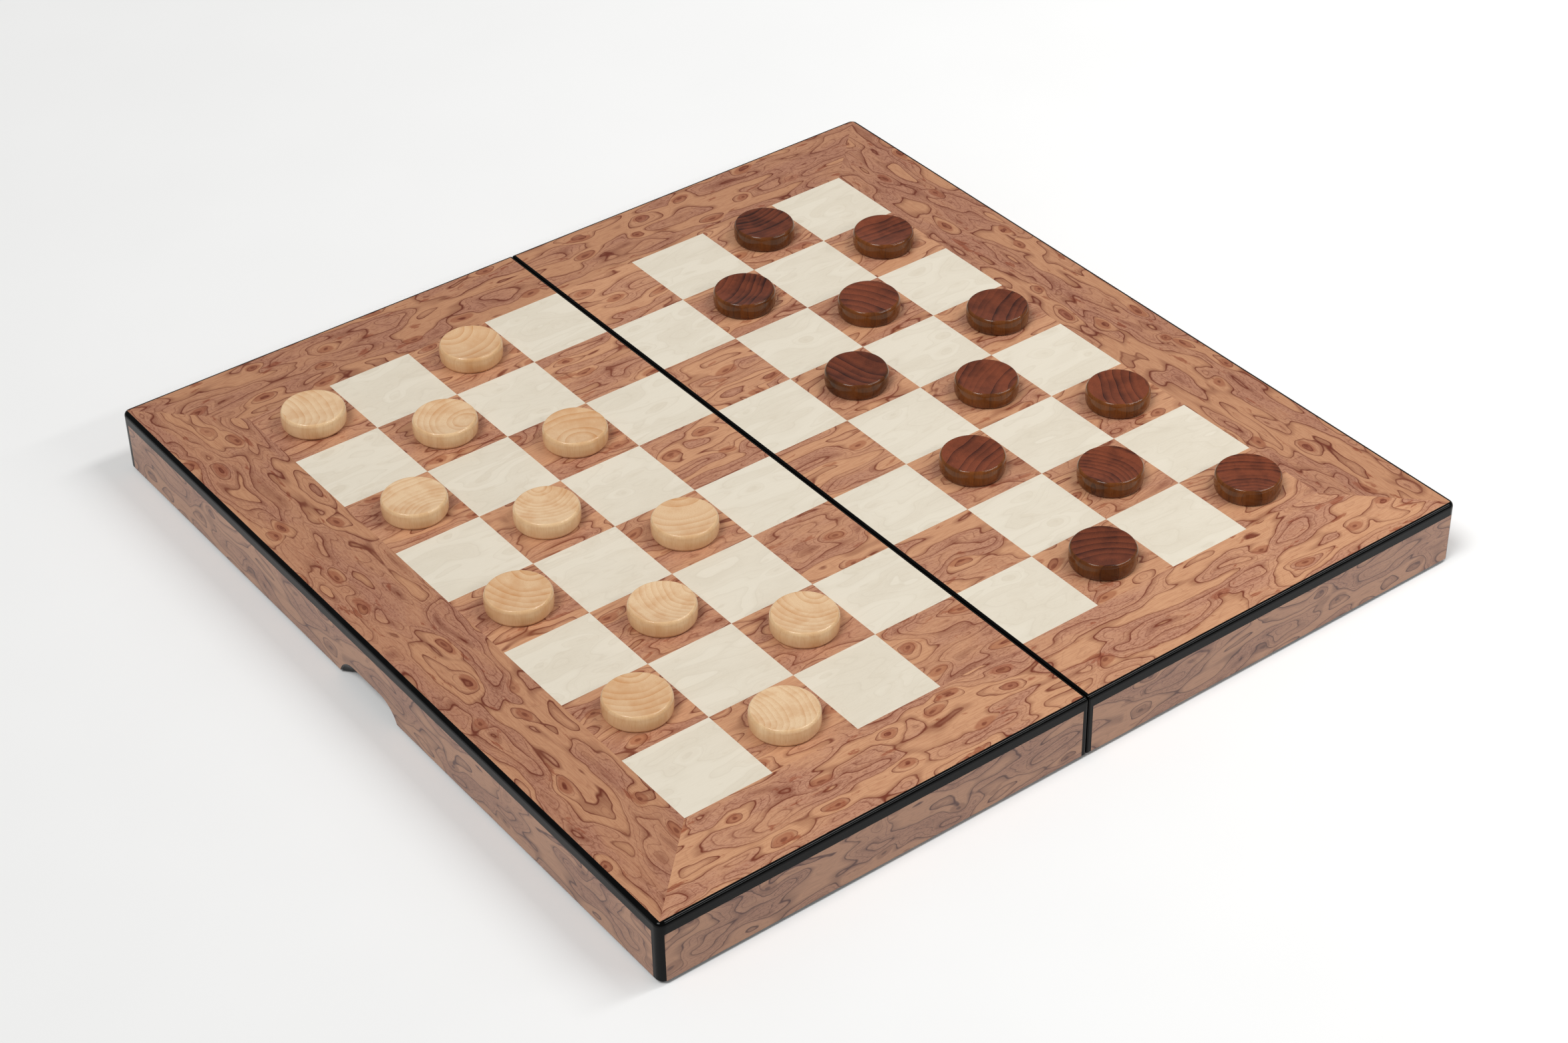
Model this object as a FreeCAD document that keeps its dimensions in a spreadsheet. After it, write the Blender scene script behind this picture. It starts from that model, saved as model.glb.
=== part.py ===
"""Folding draughts case: two veneered trays hinged along the seam, with 24 turned wooden discs.

Open for play, the two trays lie side by side with their rims down, and their backs make the board.
X runs across the seam, Y along it and Z up. The origin lies below the middle of the seam, level with
the lowest point of the hinge knuckles. Every part of the case is drawn for the left half (X below 0);
the right half is the same part turned half a turn about Z, which also keeps the chequer pattern.
"""
import FreeCAD, Part
import math
import os
import Sketcher

SQUARES_PER_HALF = 4          # columns of squares on each half of the board
ROWS = 8                      # rows of squares along the seam
LEFT = "left"
RIGHT = "right"

# ---------------------------------------------------------------- driving dimensions, millimetres
DIMENSIONS = [
    ("square_size", "41", "side of one square of the board"),
    ("border_width", "41", "from the outermost squares to the outer face of the case"),
    ("case_height", "28.7", "from the rim of a tray to its playing face"),
    ("wall_thickness", "9", "side walls with their veneer"),
    ("panel_thickness", "4", "plywood under the playing face"),
    ("veneer_thickness", "0.6", "veneer on the playing face and the sides"),
    ("seam_gap", "0.4", "air between the two halves"),
    ("lipping_width", "2", "black lipping seen on the playing face"),
    ("lipping_height", "5.5", "black lipping seen on the sides"),
    ("seam_lipping_width", "1.2", "black lipping beside the seam"),
    ("side_post_width", "5", "black corner post seen on the outer side"),
    ("front_post_width", "2.5", "black corner post seen on the front and back"),
    ("seam_post_width", "2.3", "black post beside the seam"),
    ("corner_radius", "3.5", "upright corners of the case"),
    ("top_radius", "1.9", "round-over of the playing face's outer edges"),
    ("seam_radius", "0.8", "round-over of the edges at the seam"),
    ("lining_thickness", "1", "felt inside a tray"),
    ("scoop_depth", "8.2", "finger scoop, up from the rim"),
    ("scoop_flat", "20", "straight part of the scoop's upper edge"),
    ("scoop_radius", "13", "round ends of the scoop at the outer face"),
    ("hinge_length", "30", "length of a butt hinge"),
    ("hinge_spacing", "240", "between the middles of the two hinges"),
    ("leaf_margin", "1.2", "wood left beside a hinge leaf"),
    ("leaf_thickness", "0.8", "brass leaf"),
    ("leaf_recess", "0.15", "leaf below the surface of the rim"),
    ("knuckle_diameter", "3.5", "rolled knuckle of a hinge"),
    ("end_knuckle", "8", "length of each of the two end knuckles"),
    ("knuckle_gap", "0.3", "between one knuckle and the next"),
    ("knuckle_room", "0.4", "between a knuckle and the wood"),
    ("pin_diameter", "1.6", "hinge pin"),
    ("pin_clearance", "0.05", "between the pin and the turning knuckle"),
    ("screw_diameter", "2", "shank of a hinge screw"),
    ("screw_head", "3.6", "countersunk head of a hinge screw"),
    ("screw_length", "6", "hinge screw with its head"),
    ("screw_spacing", "20", "between the two screws of a leaf"),
    ("slot_width", "0.6", "slot across a screw head"),
    ("slot_depth", "0.4", "slot across a screw head"),
    ("magnet_diameter", "6", "closing magnet in the rim"),
    ("magnet_height", "3", "closing magnet"),
    ("magnet_spacing", "300", "between the two magnets of a rim"),
    ("magnet_recess", "0.1", "magnet below the surface of the rim"),
    ("disc_diameter", "28.8", "playing piece"),
    ("disc_height", "8", "playing piece"),
    ("disc_edge_radius", "1.4", "rounded edges of a playing piece"),
    ("dish_diameter", "25.8", "hollow turned in each face of a playing piece"),
    ("dish_depth", "0.6", "hollow turned in each face of a playing piece"),
    ("light_stray", "1", "light pieces stand this far right of their squares' middles"),
    ("disc_stray", "0.3", "step of the small differences between where pieces stand"),
    ("overcut", "1", "how far a cutting solid runs past a face"),
]

doc = FreeCAD.newDocument("draughts_case")
sheet = doc.addObject("Spreadsheet::Sheet", "dims")
for row, (alias, value, meaning) in enumerate(DIMENSIONS, start=1):
    sheet.set(f"A{row}", meaning)
    sheet.set(f"B{row}", value)
    sheet.setAlias(f"B{row}", alias)
doc.recompute()

# ---------------------------------------------------------------- places, worked out from the sheet
GRID = f"{SQUARES_PER_HALF} * dims.square_size"
OUTER = f"({GRID} + dims.border_width)"
OUTER_CORE = f"({OUTER} - dims.lipping_width)"
OUTER_VENEER = f"({OUTER} - dims.veneer_thickness)"
OUTER_INSIDE = f"({OUTER} - dims.wall_thickness)"
SEAM = "dims.seam_gap / 2"
SEAM_CORE = f"({SEAM} + dims.seam_lipping_width)"
SEAM_VENEER = f"({SEAM} + dims.veneer_thickness)"
SEAM_INSIDE = f"({SEAM} + dims.wall_thickness)"
SIDE_FIELD = f"({OUTER} - dims.side_post_width)"
FRONT_FIELD_OUT = f"({OUTER} - dims.front_post_width)"
FRONT_FIELD_IN = f"({SEAM} + dims.seam_post_width)"
SEAM_FIELD = f"({OUTER} - dims.seam_post_width)"
RIM = "dims.knuckle_diameter / 2"
TOP = f"({RIM} + dims.case_height)"
PANEL_TOP = f"({TOP} - dims.veneer_thickness)"
PANEL_BOTTOM = f"({PANEL_TOP} - dims.panel_thickness)"
BAND_BOTTOM = f"({TOP} - dims.lipping_height)"
LEAF_EDGE = f"({SEAM_INSIDE} - dims.leaf_margin)"
KNUCKLE_ROOM = "(dims.knuckle_diameter / 2 + dims.knuckle_room)"
LEAF_MIDDLE = f"(({LEAF_EDGE} + {KNUCKLE_ROOM}) / 2)"

X_AXIS = FreeCAD.Vector(1, 0, 0)
Y_AXIS = FreeCAD.Vector(0, 1, 0)
Z_AXIS = FreeCAD.Vector(0, 0, 1)
UPRIGHT = FreeCAD.Rotation()
ALONG_Y = FreeCAD.Rotation(X_AXIS, -90)
ALONG_X = FreeCAD.Rotation(Y_AXIS, 90)
QUARTER_TURN = FreeCAD.Rotation(Z_AXIS, -90)
HALF_TURN = FreeCAD.Rotation(Z_AXIS, 180)

nodes = []


def put(obj, side, x="0", y="0", z="0", turned=UPRIGHT):
    """Place an object drawn for the left half; the right half is half a turn about Z away."""
    sign = "" if side == LEFT else "-"
    half = UPRIGHT if side == LEFT else HALF_TURN
    obj.Placement = FreeCAD.Placement(FreeCAD.Vector(), half * turned)
    obj.setExpression("Placement.Base.x", f"{sign}({x})")
    obj.setExpression("Placement.Base.y", f"{sign}({y})")
    obj.setExpression("Placement.Base.z", z)
    return obj


def bind(obj, **sizes):
    """Tie properties of an object to expressions in the sheet's names."""
    for name, expression in sizes.items():
        obj.setExpression(name, expression)
    return obj


def box(label, side, x_range, y_range, z_range):
    """A box between two places on each axis."""
    made = doc.addObject("Part::Box", label)
    bind(
        made,
        Length=f"({x_range[1]}) - ({x_range[0]})",
        Width=f"({y_range[1]}) - ({y_range[0]})",
        Height=f"({z_range[1]}) - ({z_range[0]})",
    )
    return put(made, side, x_range[0], y_range[0], z_range[0])


def cylinder(label, side, radius, height, x, y, z, turned=UPRIGHT):
    """A cylinder that stands on a point, or lies along a turned axis."""
    made = doc.addObject("Part::Cylinder", label)
    bind(made, Radius=radius, Height=height)
    return put(made, side, x, y, z, turned)


def cone(label, side, radius_1, radius_2, height, x, y, z, turned=UPRIGHT):
    """A cone that stands on a point, or lies along a turned axis."""
    made = doc.addObject("Part::Cone", label)
    bind(made, Radius1=radius_1, Radius2=radius_2, Height=height)
    return put(made, side, x, y, z, turned)


def trapezoid(label, side, y_range, x_range, x2_range, z_range, z2_range=None, turned=UPRIGHT):
    """A prism whose width changes evenly from its first Y place to its second."""
    z2_range = z2_range or z_range
    made = doc.addObject("Part::Wedge", label)
    bind(made, Ymin=y_range[0], Ymax=y_range[1])
    bind(made, Xmin=x_range[0], Xmax=x_range[1], X2min=x2_range[0], X2max=x2_range[1])
    bind(made, Zmin=z_range[0], Zmax=z_range[1], Z2min=z2_range[0], Z2max=z2_range[1])
    return put(made, side, turned=turned)


def fuse(label, pieces):
    """Join overlapping or touching pieces to one solid."""
    made = doc.addObject("Part::MultiFuse", label)
    made.Shapes = pieces
    made.Refine = True
    return made


def cut(label, base, tools):
    """Take one tool, or several, out of a base."""
    made = doc.addObject("Part::Cut", label)
    made.Base = base
    made.Tool = tools[0] if len(tools) == 1 else fuse(f"{label}_tools", tools)
    made.Refine = True
    return made


def group(label, pieces):
    """Keep separate solids together in one node."""
    made = doc.addObject("Part::Compound", label)
    made.Links = pieces
    return made


def node(made):
    """Count an object as a sub-part of the set."""
    nodes.append(made)
    return made


def edges_where(shape, wanted):
    """Names of the edges whose ends and middle all lie where they are wanted."""
    names = []
    for number, edge in enumerate(shape.Edges, start=1):
        middle = edge.valueAt((edge.FirstParameter + edge.LastParameter) / 2)
        points = [vertex.Point for vertex in edge.Vertexes] + [middle]
        if all(wanted(point) for point in points):
            names.append(f"Edge{number}")
    return names


def rectangle_sketch(body, name, x_low, x_high, y_half):
    """A rectangle on the body's XY plane, symmetric about its X axis."""
    sketch = body.newObject("Sketcher::SketchObject", name)
    plane = [item for item in body.Origin.OriginFeatures if item.Role == "XY_Plane"][0]
    sketch.AttachmentSupport = [(plane, "")]
    sketch.MapMode = "FlatFace"
    corners = [(-3, -2), (-1, -2), (-1, 2), (-3, 2)]
    for start, end in zip(corners, corners[1:] + corners[:1]):
        line = Part.LineSegment(FreeCAD.Vector(*start, 0), FreeCAD.Vector(*end, 0))
        sketch.addGeometry(line, False)
    for side in range(4):
        sketch.addConstraint(Sketcher.Constraint("Coincident", side, 2, (side + 1) % 4, 1))
    for side in (0, 2):
        sketch.addConstraint(Sketcher.Constraint("Horizontal", side))
    for side in (1, 3):
        sketch.addConstraint(Sketcher.Constraint("Vertical", side))
    sizes = [
        (Sketcher.Constraint("DistanceX", 0, 1, -1, 1, 3), x_low),
        (Sketcher.Constraint("DistanceX", 0, 2, -1, 1, 1), x_high),
        (Sketcher.Constraint("DistanceY", 0, 1, -1, 1, 2), y_half),
        (Sketcher.Constraint("DistanceY", -1, 1, 2, 1, 2), y_half),
    ]
    for constraint, expression in sizes:
        index = sketch.addConstraint(constraint)
        sketch.setExpression(f"Constraints[{index}]", expression)
    return sketch


def rounded_envelope(side):
    """The outside of one half as a block with all its rounded edges."""
    body = doc.addObject("PartDesign::Body", f"envelope_{side}")
    put(body, side, z=RIM)
    sketch = rectangle_sketch(body, f"envelope_sketch_{side}", OUTER, SEAM, OUTER)
    pad = body.newObject("PartDesign::Pad", f"envelope_pad_{side}")
    pad.Profile = sketch
    bind(pad, Length="dims.case_height")
    doc.recompute()

    outside = pad.Shape.BoundBox
    near = 1e-4

    def outer_upright(point):
        return abs(point.x - outside.XMin) < near and abs(abs(point.y) - outside.YMax) < near

    corners = body.newObject("PartDesign::Fillet", f"envelope_corners_{side}")
    corners.Base = (pad, edges_where(pad.Shape, outer_upright))
    bind(corners, Radius="dims.corner_radius")
    doc.recompute()

    def outer_top(point):
        return abs(point.z - outside.ZMax) < near

    def at_seam(point):
        return abs(point.x - outside.XMax) < near

    top_edges = edges_where(corners.Shape, outer_top)
    seam_edges = edges_where(corners.Shape, at_seam)
    top = body.newObject("PartDesign::Fillet", f"envelope_top_{side}")
    top.Base = (corners, [name for name in top_edges if name not in seam_edges])
    bind(top, Radius="dims.top_radius")
    doc.recompute()

    def at_rim(point):
        return abs(point.z - outside.ZMin) < near

    rim_edges = edges_where(top.Shape, at_rim)
    seam = body.newObject("PartDesign::Fillet", f"envelope_seam_{side}")
    seam.Base = (top, [name for name in edges_where(top.Shape, at_seam) if name not in rim_edges])
    bind(seam, Radius="dims.seam_radius")
    body.Tip = seam
    doc.recompute()
    return body


# ---------------------------------------------------------------- the case


def edge_lipping(side):
    """Black lipping: a band round the playing face with a post at each corner and beside the seam."""
    below = f"{RIM} - dims.overcut"
    above = f"{TOP} + dims.overcut"
    past = f"{OUTER} + dims.overcut"
    cores = [
        box(
            f"lipping_core_{side}", side, (f"-{OUTER_CORE}", f"-{SEAM_CORE}"),
            (f"-{OUTER_CORE}", OUTER_CORE), (below, above),
        ),
        box(
            f"lipping_outer_field_{side}", side, (f"-({past})", f"-{OUTER_CORE}"),
            (f"-{SIDE_FIELD}", SIDE_FIELD), (below, BAND_BOTTOM),
        ),
        box(
            f"lipping_front_field_{side}", side, (f"-{FRONT_FIELD_OUT}", f"-{FRONT_FIELD_IN}"),
            (f"-({past})", past), (below, BAND_BOTTOM),
        ),
        box(
            f"lipping_seam_field_{side}", side, (f"-{SEAM_CORE}", "dims.overcut"),
            (f"-{SEAM_FIELD}", SEAM_FIELD), (below, BAND_BOTTOM),
        ),
    ]
    return node(cut(f"edge_lipping_{side}", rounded_envelope(side), cores))


def finger_scoop(side):
    """The hollow a fingertip goes in: its ends and its upper side splay outwards at 45 degrees."""
    base = f"({RIM} + dims.scoop_depth - dims.scoop_radius)"
    start = f"-({OUTER} + dims.overcut)"
    end = f"-({OUTER} - dims.scoop_depth)"
    wide = "(dims.scoop_radius + dims.overcut)"
    narrow = "(dims.scoop_radius - dims.scoop_depth)"
    length = "dims.overcut + dims.scoop_depth"
    flat = ("-dims.scoop_flat / 2", "dims.scoop_flat / 2")
    pieces = []
    for number, y in enumerate(flat, start=1):
        name = f"scoop_end_{number}_{side}"
        pieces.append(cone(name, side, wide, narrow, length, start, y, base, ALONG_X))
    pieces.append(
        trapezoid(
            f"scoop_middle_{side}", side, (start, end), flat, flat,
            (base, f"{base} + {wide}"), (base, f"{base} + {narrow}"), QUARTER_TURN,
        )
    )
    return fuse(f"finger_scoop_{side}", pieces)


def hinge_places():
    """The middles of the two hinges along the seam."""
    return [("front", "-dims.hinge_spacing / 2"), ("back", "dims.hinge_spacing / 2")]


def hinge_room(side):
    """What is let into the seam wall for the leaves and knuckles of both hinges."""
    pieces = []
    for end, middle in hinge_places():
        low = f"{middle} - dims.hinge_length / 2"
        high = f"{middle} + dims.hinge_length / 2"
        leaf_top = f"{RIM} + dims.leaf_recess + dims.leaf_thickness"
        below = f"{RIM} - dims.overcut"
        pieces.append(
            box(
                f"leaf_room_{end}_{side}", side, (f"-{LEAF_EDGE}", "dims.overcut"), (low, high),
                (below, leaf_top),
            )
        )
        pieces.append(
            box(
                f"knuckle_room_{end}_{side}", side, (f"-{KNUCKLE_ROOM}", "dims.overcut"),
                (f"{low} - dims.knuckle_gap", f"{high} + dims.knuckle_gap"),
                (below, f"{RIM} + {KNUCKLE_ROOM}"),
            )
        )
    return pieces


def hinge_screws(side):
    """Two slotted countersunk screws for each of the two leaves; returns them unslotted, to cut with."""
    blanks = []
    pieces = []
    bottom = f"{RIM} + dims.leaf_recess"
    shoulder = f"{bottom} + dims.leaf_thickness"
    shank = "dims.screw_diameter / 2"
    for end, middle in hinge_places():
        for number, along in enumerate(("-", "+"), start=1):
            y = f"{middle} {along} dims.screw_spacing / 2"
            name = f"screw_{end}_{number}_{side}"
            x = f"-{LEAF_MIDDLE}"
            head = cone(
                f"{name}_head", side, "dims.screw_head / 2", shank, "dims.leaf_thickness", x, y, bottom
            )
            length = "dims.screw_length - dims.leaf_thickness"
            body = cylinder(f"{name}_shank", side, shank, length, x, y, shoulder)
            blank = fuse(f"{name}_blank", [head, body])
            reach = "(dims.screw_head / 2 + dims.overcut)"
            slot = box(
                f"{name}_slot", side, (f"{x} - {reach}", f"{x} + {reach}"),
                (f"{y} - dims.slot_width / 2", f"{y} + dims.slot_width / 2"),
                (f"{bottom} - dims.overcut", f"{bottom} + dims.slot_depth"),
            )
            blanks.append(blank)
            pieces.append(cut(name, blank, [slot]))
    node(group(f"hinge_screws_{side}", pieces))
    return group(f"screw_room_{side}", blanks)


def rim_magnets(side):
    """Two magnets let into the outer rim, which hold the closed case shut."""
    pieces = []
    pockets = []
    x = f"-({OUTER} - dims.wall_thickness / 2)"
    bottom = f"{RIM} + dims.magnet_recess"
    for end, y in (("front", "-dims.magnet_spacing / 2"), ("back", "dims.magnet_spacing / 2")):
        radius = "dims.magnet_diameter / 2"
        pieces.append(cylinder(f"magnet_{end}_{side}", side, radius, "dims.magnet_height", x, y, bottom))
        depth = "dims.magnet_height + dims.magnet_recess + dims.overcut"
        below = f"{RIM} - dims.overcut"
        pockets.append(cylinder(f"magnet_pocket_{end}_{side}", side, radius, depth, x, y, below))
    node(group(f"rim_magnets_{side}", pieces))
    return pockets


def walls(side, screws, pockets, scoop, room):
    """Four solid walls; each has a raised field that carries its veneer between the lippings."""
    height = (RIM, PANEL_BOTTOM)
    field = (RIM, BAND_BOTTOM)
    core_x = (f"-{OUTER_CORE}", f"-{SEAM_CORE}")
    field_x = (f"-{FRONT_FIELD_OUT}", f"-{FRONT_FIELD_IN}")
    inner_y = (f"-{OUTER_INSIDE}", OUTER_INSIDE)

    front_core = box(f"front_core_{side}", side, core_x, (f"-{OUTER_CORE}", f"-{OUTER_INSIDE}"), height)
    front_field = box(
        f"front_field_{side}", side, field_x, (f"-{OUTER_VENEER}", f"-{OUTER_CORE}"), field
    )
    node(fuse(f"front_wall_{side}", [front_core, front_field]))

    back_core = box(f"back_core_{side}", side, core_x, (OUTER_INSIDE, OUTER_CORE), height)
    back_field = box(f"back_field_{side}", side, field_x, (OUTER_CORE, OUTER_VENEER), field)
    node(fuse(f"back_wall_{side}", [back_core, back_field]))

    outer_core = box(
        f"outer_core_{side}", side, (f"-{OUTER_CORE}", f"-{OUTER_INSIDE}"), inner_y, height
    )
    outer_field = box(
        f"outer_field_{side}", side, (f"-{OUTER_VENEER}", f"-{OUTER_CORE}"),
        (f"-{SIDE_FIELD}", SIDE_FIELD), field,
    )
    outer_blank = fuse(f"outer_wall_blank_{side}", [outer_core, outer_field])
    node(cut(f"outer_wall_{side}", outer_blank, [scoop] + pockets))

    seam_core = box(f"seam_core_{side}", side, (f"-{SEAM_INSIDE}", f"-{SEAM_CORE}"), inner_y, height)
    seam_field = box(
        f"seam_field_{side}", side, (f"-{SEAM_CORE}", f"-{SEAM_VENEER}"),
        (f"-{SEAM_FIELD}", SEAM_FIELD), field,
    )
    seam_blank = fuse(f"seam_wall_blank_{side}", [seam_core, seam_field])
    node(cut(f"seam_wall_{side}", seam_blank, room + [screws]))


def side_veneers(side, scoop, room):
    """Veneer on the four sides of a half, between the lippings and down to the rim."""
    field = (RIM, BAND_BOTTOM)
    field_x = (f"-{FRONT_FIELD_OUT}", f"-{FRONT_FIELD_IN}")
    front = box(f"front_veneer_{side}", side, field_x, (f"-{OUTER}", f"-{OUTER_VENEER}"), field)
    back = box(f"back_veneer_{side}", side, field_x, (OUTER_VENEER, OUTER), field)
    outer = box(
        f"outer_veneer_blank_{side}", side, (f"-{OUTER}", f"-{OUTER_VENEER}"),
        (f"-{SIDE_FIELD}", SIDE_FIELD), field,
    )
    seam = box(
        f"seam_veneer_blank_{side}", side, (f"-{SEAM_VENEER}", f"-{SEAM}"),
        (f"-{SEAM_FIELD}", SEAM_FIELD), field,
    )
    outer_cut = cut(f"outer_veneer_{side}", outer, [scoop])
    seam_cut = cut(f"seam_veneer_{side}", seam, room)
    return node(group(f"side_veneers_{side}", [front, back, outer_cut, seam_cut]))


def panel(side):
    """Plywood panel that closes the tray and carries the playing face."""
    across = (f"-{OUTER_CORE}", f"-{SEAM_CORE}")
    along = (f"-{OUTER_CORE}", OUTER_CORE)
    return node(box(f"top_panel_{side}", side, across, along, (PANEL_BOTTOM, PANEL_TOP)))


def lining(side):
    """Felt that lines the inside of the panel."""
    across = (f"-{OUTER_INSIDE}", f"-{SEAM_INSIDE}")
    along = (f"-{OUTER_INSIDE}", OUTER_INSIDE)
    felt = (f"{PANEL_BOTTOM} - dims.lining_thickness", PANEL_BOTTOM)
    return node(box(f"felt_lining_{side}", side, across, along, felt))


def border_veneers(side):
    """Three strips of veneer round the squares, mitred at the outer corners."""
    sheet_z = (PANEL_TOP, TOP)
    long_x = (f"-{OUTER_CORE}", f"-{SEAM_CORE}")
    short_x = (f"-{GRID}", f"-{SEAM_CORE}")
    front = trapezoid(
        f"front_border_{side}", side, (f"-{OUTER_CORE}", f"-{GRID}"), long_x, short_x, sheet_z
    )
    back = trapezoid(f"back_border_{side}", side, (GRID, OUTER_CORE), short_x, long_x, sheet_z)
    outer = trapezoid(
        f"outer_border_{side}", side, (f"-{OUTER_CORE}", f"-{GRID}"), (f"-{OUTER_CORE}", OUTER_CORE),
        (f"-{GRID}", GRID), sheet_z, turned=QUARTER_TURN,
    )
    return node(group(f"border_veneers_{side}", [front, back, outer]))


def squares(side):
    """The squares of one half, light and dark by turns; the last column gives way to the lipping."""
    kinds = {"light": [], "dark": []}
    for column in range(SQUARES_PER_HALF):
        low = f"{column - SQUARES_PER_HALF} * dims.square_size"
        last = column == SQUARES_PER_HALF - 1
        high = f"-{SEAM_CORE}" if last else f"{column + 1 - SQUARES_PER_HALF} * dims.square_size"
        for number in range(ROWS):
            kind = "light" if (column + number) % 2 == 0 else "dark"
            along = (
                f"{number - ROWS // 2} * dims.square_size",
                f"{number + 1 - ROWS // 2} * dims.square_size",
            )
            name = f"{kind}_square_{column + 1}_{number + 1}_{side}"
            kinds[kind].append(box(name, side, (low, high), along, (PANEL_TOP, TOP)))
    for kind, pieces in kinds.items():
        node(group(f"{kind}_squares_{side}", pieces))


# ---------------------------------------------------------------- the hinges


def knuckle_with_tongue(name, side, low, high):
    """One rolled knuckle with the tongue that joins it to its leaf."""
    leaf_bottom = f"{RIM} + dims.leaf_recess"
    tongue = box(
        f"{name}_tongue", side, (f"-{KNUCKLE_ROOM}", "0"), (low, high),
        (leaf_bottom, f"{leaf_bottom} + dims.leaf_thickness"),
    )
    length = f"({high}) - ({low})"
    roll = cylinder(name, side, "dims.knuckle_diameter / 2", length, "0", low, RIM, ALONG_Y)
    return [tongue, roll]


def hinge_leaves(side, screws):
    """A leaf for each hinge: the left one has the two end knuckles, the right one the middle one."""
    pieces = []
    slack = "0" if side == LEFT else "dims.pin_clearance"
    for end, middle in hinge_places():
        low = f"{middle} - dims.hinge_length / 2"
        high = f"{middle} + dims.hinge_length / 2"
        leaf_bottom = f"{RIM} + dims.leaf_recess"
        plate = box(
            f"plate_{end}_{side}", side, (f"-{LEAF_EDGE}", f"-{KNUCKLE_ROOM}"), (low, high),
            (leaf_bottom, f"{leaf_bottom} + dims.leaf_thickness"),
        )
        if side == LEFT:
            spans = [(low, f"{low} + dims.end_knuckle"), (f"{high} - dims.end_knuckle", high)]
        else:
            inset = "dims.end_knuckle + dims.knuckle_gap"
            spans = [(f"{low} + {inset}", f"{high} - ({inset})")]
        parts = [plate]
        for number, span in enumerate(spans, start=1):
            parts += knuckle_with_tongue(f"knuckle_{end}_{number}_{side}", side, *span)
        blank = fuse(f"leaf_blank_{end}_{side}", parts)
        bore = cylinder(
            f"bore_{end}_{side}", side, f"dims.pin_diameter / 2 + {slack}",
            "dims.hinge_length + 2 * dims.overcut", "0", f"{low} - dims.overcut", RIM, ALONG_Y,
        )
        pieces.append(cut(f"leaf_{end}_{side}", blank, [bore, screws]))
    return node(group(f"hinge_leaves_{side}", pieces))


def hinge_pins():
    """The two pins, held by the end knuckles."""
    pieces = []
    for end, middle in hinge_places():
        low = f"{middle} - dims.hinge_length / 2"
        radius = "dims.pin_diameter / 2"
        pieces.append(
            cylinder(f"pin_{end}", LEFT, radius, "dims.hinge_length", "0", low, RIM, ALONG_Y)
        )
    return node(group("hinge_pins", pieces))


# ---------------------------------------------------------------- the playing pieces


def disc_profile():
    """Half the section of a disc, on the XZ plane: rounded edges and a shallow dish in each face."""
    sketch = doc.addObject("Sketcher::SketchObject", "disc_profile")
    sketch.Placement = FreeCAD.Placement(FreeCAD.Vector(), FreeCAD.Rotation(X_AXIS, 90))
    radius = float(sheet.disc_diameter) / 2
    height = float(sheet.disc_height)
    edge = float(sheet.disc_edge_radius)
    dish = float(sheet.dish_diameter) / 2
    depth = float(sheet.dish_depth)
    sag_radius = (dish * dish + depth * depth) / (2 * depth)
    sag_turn = 2 * depth / dish

    def point(x, y):
        return FreeCAD.Vector(x, y, 0)

    def arc(x, y, size, start, end):
        return Part.ArcOfCircle(Part.Circle(point(x, y), Z_AXIS, size), start, end)

    quarter = math.pi / 2
    centre_low = depth - sag_radius
    centre_high = height - depth + sag_radius
    outline = [
        arc(0, centre_low, sag_radius, quarter - sag_turn, quarter),
        Part.LineSegment(point(dish, 0), point(radius - edge, 0)),
        arc(radius - edge, edge, edge, -quarter, 0),
        Part.LineSegment(point(radius, edge), point(radius, height - edge)),
        arc(radius - edge, height - edge, edge, 0, quarter),
        Part.LineSegment(point(radius - edge, height), point(dish, height)),
        arc(0, centre_high, sag_radius, -quarter, -quarter + sag_turn),
        Part.LineSegment(point(0, height - depth), point(0, depth)),
    ]
    sketch.addGeometry(outline, False)
    joints = [
        ("Coincident", 0, 1, 1, 1),
        ("Tangent", 1, 2, 2, 1),
        ("Tangent", 2, 2, 3, 1),
        ("Tangent", 3, 2, 4, 1),
        ("Tangent", 4, 2, 5, 1),
        ("Coincident", 5, 2, 6, 2),
        ("Coincident", 6, 1, 7, 1),
        ("Coincident", 7, 2, 0, 2),
        ("Horizontal", 1),
        ("Vertical", 3),
        ("Horizontal", 5),
        ("PointOnObject", 0, 3, -2),
        ("PointOnObject", 0, 2, -2),
        ("PointOnObject", 6, 3, -2),
        ("PointOnObject", 6, 1, -2),
        ("PointOnObject", 1, 1, -1),
    ]
    for joint in joints:
        sketch.addConstraint(Sketcher.Constraint(*joint))
    sizes = [
        (Sketcher.Constraint("Radius", 2, edge), "dims.disc_edge_radius"),
        (Sketcher.Constraint("Radius", 4, edge), "dims.disc_edge_radius"),
        (Sketcher.Constraint("DistanceX", -1, 1, 3, 1, radius), "dims.disc_diameter / 2"),
        (Sketcher.Constraint("DistanceY", -1, 1, 5, 1, height), "dims.disc_height"),
        (Sketcher.Constraint("DistanceX", -1, 1, 1, 1, dish), "dims.dish_diameter / 2"),
        (Sketcher.Constraint("DistanceX", -1, 1, 5, 2, dish), "dims.dish_diameter / 2"),
        (Sketcher.Constraint("DistanceY", -1, 1, 0, 2, depth), "dims.dish_depth"),
        (Sketcher.Constraint("DistanceY", 6, 1, 5, 2, depth), "dims.dish_depth"),
    ]
    for constraint, expression in sizes:
        index = sketch.addConstraint(constraint)
        sketch.setExpression(f"Constraints[{index}]", expression)
    doc.recompute()
    return sketch


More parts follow.
